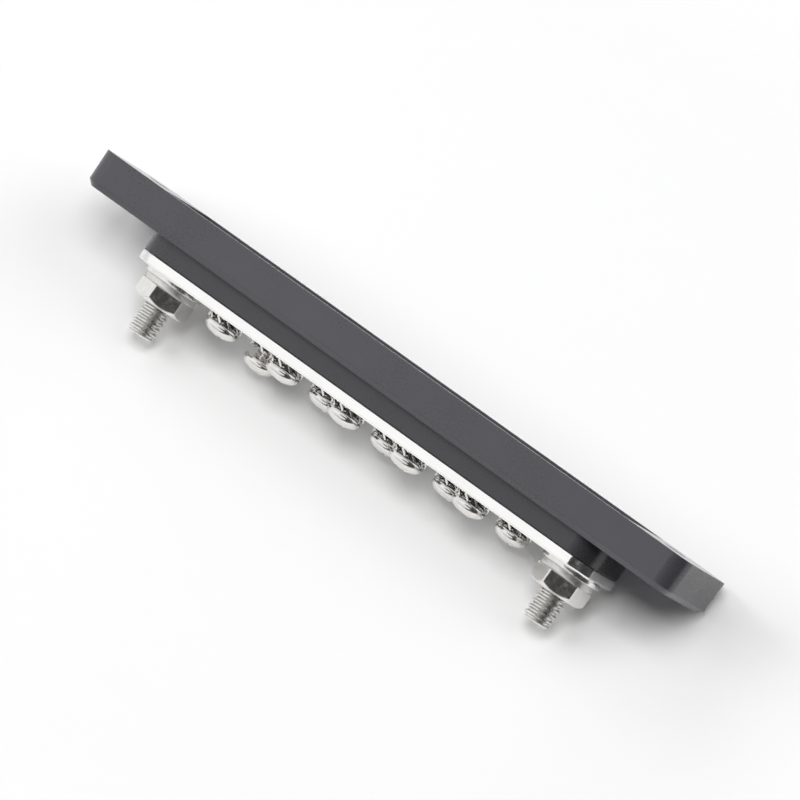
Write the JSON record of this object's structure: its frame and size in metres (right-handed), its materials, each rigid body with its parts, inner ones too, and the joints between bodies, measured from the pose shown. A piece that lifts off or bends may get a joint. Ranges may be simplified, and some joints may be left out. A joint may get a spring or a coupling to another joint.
{
  "type": "bus bar distribution box",
  "caption": "Black moulded base with a raised nickel-plated bus bar, threaded feed studs with nuts, and staggered pan-head terminal screws on star washers.",
  "frame": {"origin": "middle of the base's underside, on the surface that it is screwed to", "axes": "+X along the bar, +Y across it from the front screw row to the rear one, +Z out of the mounting surface towards the stud tips"},
  "size_m": [0.154, 0.03, 0.0277],
  "materials": {
    "base_plastic": "black moulded plastic, satin, slightly worn",
    "bar_plating": "bright nickel plate over a sheared bar",
    "stud_steel": "plain stainless steel, rolled thread",
    "washer_steel": "bright stamped steel",
    "nut_steel": "bright nickel plate",
    "screw_steel": "bright nickel plate",
    "star_washer_steel": "bright stamped spring steel"
  },
  "bodies": {
    "root": {"base": "base_plastic", "bus_bar": "bar_plating", "stud_1": "stud_steel", "flat_washer_1": "washer_steel", "spring_washer_1": "washer_steel", "hex_nut_1": "nut_steel", "stud_2": "stud_steel", "flat_washer_2": "washer_steel", "spring_washer_2": "washer_steel", "hex_nut_2": "nut_steel", "terminal_screw_front_1": "screw_steel", "star_washer_front_1": "star_washer_steel", "terminal_screw_front_2": "screw_steel", "star_washer_front_2": "star_washer_steel", "terminal_screw_front_3": "screw_steel", "star_washer_front_3": "star_washer_steel", "terminal_screw_front_4": "screw_steel", "star_washer_front_4": "star_washer_steel", "terminal_screw_front_5": "screw_steel", "star_washer_front_5": "star_washer_steel", "terminal_screw_rear_1": "screw_steel", "star_washer_rear_1": "star_washer_steel", "terminal_screw_rear_2": "screw_steel", "star_washer_rear_2": "star_washer_steel", "terminal_screw_rear_3": "screw_steel", "star_washer_rear_3": "star_washer_steel", "terminal_screw_rear_4": "screw_steel", "star_washer_rear_4": "star_washer_steel", "terminal_screw_rear_5": "screw_steel", "star_washer_rear_5": "star_washer_steel"}
  },
  "joints": []
}
